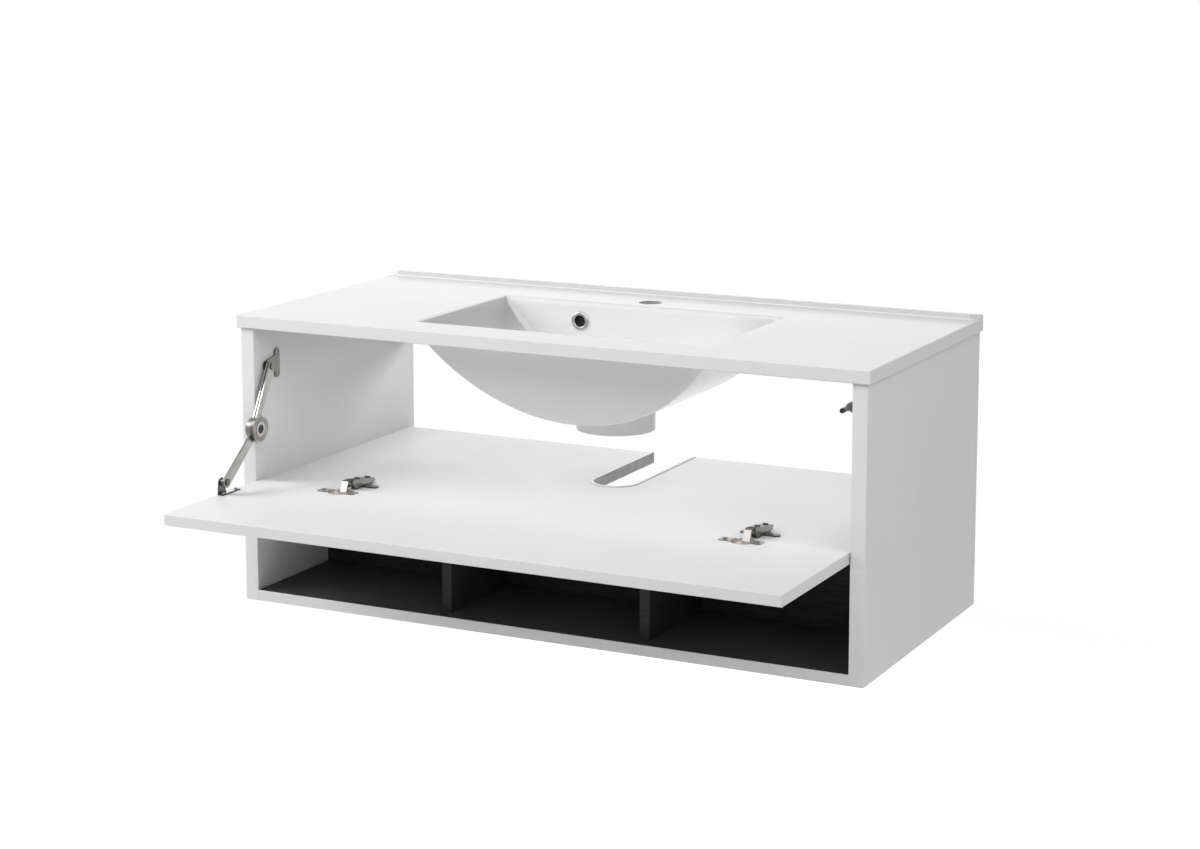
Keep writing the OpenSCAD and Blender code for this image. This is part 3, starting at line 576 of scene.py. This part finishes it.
class VANITY_OT_boards(PieceOperator):
    """Lacquered boards, the notch's edge trim and the dark boards of the lower bays"""
    bl_idname = "vanity.boards"
    bl_label = "Boards"

    def execute(self, context):
        edge = context.scene.vanity_boards.edge
        for node, slot in SLOT.items():
            if slot in ("white_board", "black_board", "white_plastic"):
                soften(node, edge)
        return {"FINISHED"}


class VANITY_OT_basin(PieceOperator):
    """Ceramic top: filleted bowl, rounded rim and lip, drain boss and upstand"""
    bl_idname = "vanity.basin"
    bl_label = "Basin top"

    def execute(self, context):
        looks = context.scene.vanity_basin
        top = copy_node("washbasin", "basin_top")
        slab_thickness, boss_radius, boss_top = 20 * MM, 64 * MM, 0.309

        def on_rim(p):
            """At the table's height, round the bowl's opening."""
            return abs(p.z - TABLE) < 0.05 * MM and abs(p.x) < 0.25 and -0.41 < p.y < -0.11

        def on_lip(p):
            """On the slab or the upstand, near its ends, its rear or its front."""
            near_edge = abs(p.x) > 0.48 or p.y > -0.03 or p.y < -0.465
            return p.z > TABLE - slab_thickness and near_edge

        def on_tap_hole(p):
            return math.hypot(p.x - TAP.x, p.y - TAP.y) < TAP_RADIUS + 2.5 * MM

        def on_boss(p):
            return math.hypot(p.x - DRAIN.x, p.y - DRAIN.y) < boss_radius and p.z < boss_top
        self.fillet_bowl(top, looks.bowl_fillet)
        bevel_where(top, on_rim, looks.rim, 3)
        bevel_where(top, on_lip, looks.lip, 3)
        bevel_where(top, on_tap_hole, 0.8 * MM, 2)
        bevel_where(top, on_boss, 1.5 * MM, 3)
        smooth(top, 40)
        hand_over(top, "washbasin")
        return {"FINISHED"}

    def fillet_bowl(self, top, width):
        """Rounds the arcs where the bowl's floor meets its front and rear walls, inside and out."""
        for rear, front, radius in (BOWL_INSIDE, BOWL_OUTSIDE):

            def on_arc(p):
                off_arc = math.hypot(p.x, p.z - BOWL_CENTRE_Z) - radius
                if abs(off_arc) > 0.3 * MM or p.z > TABLE + MM:
                    return False
                wall = front + BOWL_LEAN * (TABLE - p.z)
                return abs(p.y - rear) < 0.1 * MM or abs(p.y - wall) < 0.15 * MM
            bevel_where(top, on_arc, width, 5)


class VANITY_OT_overflow_ring(PieceOperator):
    """Chrome ring round the overflow hole"""
    bl_idname = "vanity.overflow_ring"
    bl_label = "Overflow ring"

    def execute(self, context):
        soften("overflow_ring", 0.9 * MM, 4)
        return {"FINISHED"}


class VANITY_OT_hinges(PieceOperator):
    """Concealed hinges: cups, links, arms, plates, pins and screws"""
    bl_idname = "vanity.hinges"
    bl_label = "Hinges"

    def execute(self, context):
        edge = context.scene.vanity_fittings.edge
        for node in SLOT:
            if node.startswith("hinge_"):
                soften(node, edge)
        return {"FINISHED"}


class VANITY_OT_stay(PieceOperator):
    """Flap stay: brackets, arms, pins and the ribbed brake disc"""
    bl_idname = "vanity.stay"
    bl_label = "Stay"

    def execute(self, context):
        looks = context.scene.vanity_fittings
        for node in SLOT:
            if node.startswith("stay_") and node != "stay_brake_disc":
                soften(node, looks.edge * (2 if node.endswith("_arm") else 1), 3)
        self.brake_disc(looks.ribs)
        return {"FINISHED"}

    def brake_disc(self, ribs):
        """A stepped disc whose face has a ring of fine ribs round a recess, and a hub behind it."""
        radius, thickness, hub_length = 20 * MM, 6 * MM, 3 * MM
        rib_ring, rib_reach, rib_height = 14.9 * MM, 1.2 * MM, 0.45 * MM
        bpy.ops.object.select_all(action="DESELECT")
        bpy.ops.mesh.primitive_cylinder_add(
            vertices=2 * ribs, radius=radius, depth=thickness, rotation=(0, math.pi / 2, 0),
            location=(DISC_HIGH.x - thickness / 2, DISC_AXIS.y, DISC_AXIS.z))
        disc = bpy.context.object
        disc.name = disc.data.name = "brake_disc"
        bpy.ops.object.transform_apply(location=True, rotation=True, scale=True)
        bpy.ops.object.mode_set(mode="EDIT")
        bpy.ops.mesh.select_mode(type="FACE")
        # From the rim inwards: each step narrows the face, then moves it along the axis
        self.select_faces(disc, lambda face: face.normal.x > 0.9)
        for narrower, move in ((1.4, -0.5), (1.0, 0), (5.4, 0), (0.8, 0.7), (4.4, -3.2)):
            bpy.ops.mesh.inset(thickness=narrower * MM)
            if move:
                self.push(move * MM)

        def is_rib(face):
            place = face.calc_center_median() - DISC_AXIS
            off_ring = math.hypot(place.y, place.z) - rib_ring
            turn = math.atan2(place.z, place.y) / math.pi * ribs
            every_other = round(turn - 0.5) % 2 == 0
            return face.normal.x > 0.9 and abs(off_ring) < rib_reach and every_other
        self.select_faces(disc, is_rib)
        self.push(rib_height)
        self.select_faces(disc, lambda face: face.normal.x < -0.9)
        bpy.ops.mesh.inset(thickness=14 * MM)
        self.push(-hub_length)
        bpy.ops.mesh.select_all(action="SELECT")
        bpy.ops.mesh.normals_make_consistent(inside=False)
        bpy.ops.object.mode_set(mode="OBJECT")

        def on_rim(p):
            return math.hypot(p.y - DISC_AXIS.y, p.z - DISC_AXIS.z) > radius - 3 * MM
        bevel_where(disc, on_rim, 0.3 * MM, 2, 50)
        smooth(disc, 40)
        hand_over(disc, "stay_brake_disc")

    def push(self, distance):
        """Extrudes the selected faces along X."""
        bpy.ops.mesh.extrude_region_move(TRANSFORM_OT_translate={"value": (distance, 0, 0)})

    def select_faces(self, obj, test):
        """Selects the faces that pass the test and no others."""
        bpy.ops.mesh.select_all(action="DESELECT")
        mesh = bmesh.from_edit_mesh(obj.data)
        for face in mesh.faces:
            if test(face):
                face.select_set(True)
        bmesh.update_edit_mesh(obj.data)


class VANITY_OT_latch(PieceOperator):
    """Push latch: housing, plunger, tip and screws"""
    bl_idname = "vanity.latch"
    bl_label = "Latch"

    def execute(self, context):
        edge = context.scene.vanity_fittings.edge
        for node in SLOT:
            if node.startswith("latch_"):
                soften(node, edge, 3)
        return {"FINISHED"}


class VANITY_OT_hidden_pieces(PieceOperator):
    """Finishes for the CAD pieces that keep their own shape"""
    bl_idname = "vanity.hidden_pieces"
    bl_label = "Hidden pieces"

    def execute(self, context):
        for node, obj in frame["nodes"].items():
            if not obj.hide_render:
                for slot in obj.material_slots:
                    slot.material = finish_of(SLOT[node])
        return {"FINISHED"}


def studio_white(tree):
    """A factor that is 1 for rays that show the background: camera, mirror and glass rays."""
    path = tree.nodes.new("ShaderNodeLightPath")
    first = tree.nodes.new("ShaderNodeMath")
    second = tree.nodes.new("ShaderNodeMath")
    for node in (first, second):
        node.operation = "MAXIMUM"
    tree.links.new(path.outputs["Is Camera Ray"], first.inputs[0])
    tree.links.new(path.outputs["Is Glossy Ray"], first.inputs[1])
    tree.links.new(first.outputs[0], second.inputs[0])
    tree.links.new(path.outputs["Is Transmission Ray"], second.inputs[1])
    return second.outputs[0]


class VANITY_OT_stage(PieceOperator):
    """Pale floor, white surroundings, soft lights and the camera"""
    bl_idname = "vanity.stage"
    bl_label = "Stage"

    def execute(self, context):
        looks = context.scene.vanity_studio
        self.floor(looks.floor_drop)
        self.world(looks.ambient)
        for name, place, size, share, seen in LAMPS:
            self.lamp(name, place, size, share * looks.power, seen)
        self.camera()
        context.scene.view_settings.view_transform = "Standard"
        return {"FINISHED"}

    def floor(self, drop):
        bpy.ops.object.select_all(action="DESELECT")
        bpy.ops.mesh.primitive_plane_add(size=40, location=(0, 0, -drop))
        floor = bpy.context.object
        floor.name = "floor"
        bpy.ops.object.transform_apply(location=True)
        recipe = Recipe("pale_floor")
        tree = recipe.tree
        x, y, _ = recipe.axes()
        away = (x * x + (y - AIM.y) ** 2) ** 0.5
        recipe.shade(Base_Color=(0.8, 0.8, 0.8), Roughness=0.7, Specular_IOR_Level=0.1)
        glow = tree.nodes.new("ShaderNodeEmission")
        glow.inputs["Strength"].default_value = 0.5
        white = tree.nodes.new("ShaderNodeEmission")
        both = tree.nodes.new("ShaderNodeAddShader")
        tree.links.new(recipe.shader.outputs[0], both.inputs[0])
        tree.links.new(glow.outputs[0], both.inputs[1])
        fade = tree.nodes.new("ShaderNodeMixShader")
        tree.links.new(away.step(*FLOOR_FADE).socket, fade.inputs[0])
        tree.links.new(both.outputs[0], fade.inputs[1])
        tree.links.new(white.outputs[0], fade.inputs[2])
        shown = tree.nodes.new("ShaderNodeMixShader")
        tree.links.new(studio_white(tree), shown.inputs[0])
        tree.links.new(recipe.shader.outputs[0], shown.inputs[1])
        tree.links.new(fade.outputs[0], shown.inputs[2])
        tree.links.new(shown.outputs[0], tree.nodes["Material Output"].inputs["Surface"])
        floor.data.materials.append(recipe.material)

    def world(self, ambient):
        world = bpy.data.worlds.new("studio")
        bpy.context.scene.world = world
        world.use_nodes = True
        tree = world.node_tree
        soft = tree.nodes["Background"]
        soft.inputs["Color"].default_value = (1, 1, 1, 1)
        soft.inputs["Strength"].default_value = ambient
        white = tree.nodes.new("ShaderNodeBackground")
        white.inputs["Color"].default_value = (1, 1, 1, 1)
        mix = tree.nodes.new("ShaderNodeMixShader")
        tree.links.new(studio_white(tree), mix.inputs[0])
        tree.links.new(soft.outputs[0], mix.inputs[1])
        tree.links.new(white.outputs[0], mix.inputs[2])
        tree.links.new(mix.outputs[0], tree.nodes["World Output"].inputs["Surface"])

    def lamp(self, name, place, size, power, seen):
        """A softbox that faces the cabinet; seen is whether gloss and the camera see it."""
        data = bpy.data.lights.new(name, "AREA")
        data.shape = "RECTANGLE"
        data.size, data.size_y = size
        data.energy = power
        lamp = bpy.data.objects.new(name, data)
        bpy.context.scene.collection.objects.link(lamp)
        lamp.location = place
        lamp.rotation_euler = (AIM - Vector(place)).to_track_quat("-Z", "Y").to_euler()
        lamp.visible_camera = lamp.visible_glossy = seen

    def camera(self):
        """The photograph's viewpoint: from the right, a little above, with a slight shift."""
        data = bpy.data.cameras.new("camera")
        camera = bpy.data.objects.new("camera", data)
        bpy.context.scene.collection.objects.link(camera)
        image_width, focal_pixels, shift_pixels = 1200, 2605.4, 3.15
        tilt_down, turn = math.radians(8.749), math.radians(26.597)
        data.sensor_width = 36
        data.lens = focal_pixels / image_width * data.sensor_width
        data.shift_x = shift_pixels / image_width
        data.shift_y = -0.12
        camera.location = (1.7003, -3.6707, 1.0823)
        camera.rotation_euler = (math.pi / 2 - tilt_down, 0, turn)
        data.clip_start, data.clip_end = 0.1, 100
        bpy.context.scene.camera = camera


class VANITY_PT_panel(bpy.types.Panel):
    """Lists the vanity unit's pieces and their sizes and colours."""
    bl_label = "Vanity unit"
    bl_idname = "VANITY_PT_panel"
    bl_space_type = "VIEW_3D"
    bl_region_type = "UI"
    bl_category = "Vanity"

    def draw(self, context):
        for looks in LOOKS:
            group = getattr(context.scene, looks)
            box = self.layout.box()
            for name in group.__annotations__:
                box.prop(group, name)
        for operator in PIECES:
            self.layout.operator(operator.bl_idname)


LOOKS = {"vanity_boards": BoardLooks, "vanity_basin": BasinLooks, "vanity_fittings": FittingLooks,
         "vanity_studio": StudioLooks}
PIECES = (VANITY_OT_boards, VANITY_OT_basin, VANITY_OT_overflow_ring, VANITY_OT_hinges,
          VANITY_OT_stay, VANITY_OT_latch, VANITY_OT_hidden_pieces, VANITY_OT_stage)
CLASSES = (*LOOKS.values(), *PIECES, VANITY_PT_panel)


def register():
    for cls in CLASSES:
        bpy.utils.register_class(cls)
    for name, looks in LOOKS.items():
        setattr(bpy.types.Scene, name, bpy.props.PointerProperty(type=looks))


def unregister():
    for name in LOOKS:
        delattr(bpy.types.Scene, name)
    for cls in reversed(CLASSES):
        bpy.utils.unregister_class(cls)


def main():
    register()
    bpy.ops.vanity.boards()
    bpy.ops.vanity.basin()
    bpy.ops.vanity.overflow_ring()
    bpy.ops.vanity.hinges()
    bpy.ops.vanity.stay()
    bpy.ops.vanity.latch()
    bpy.ops.vanity.hidden_pieces()
    bpy.ops.vanity.stage()


if __name__ == "__main__":
    main()
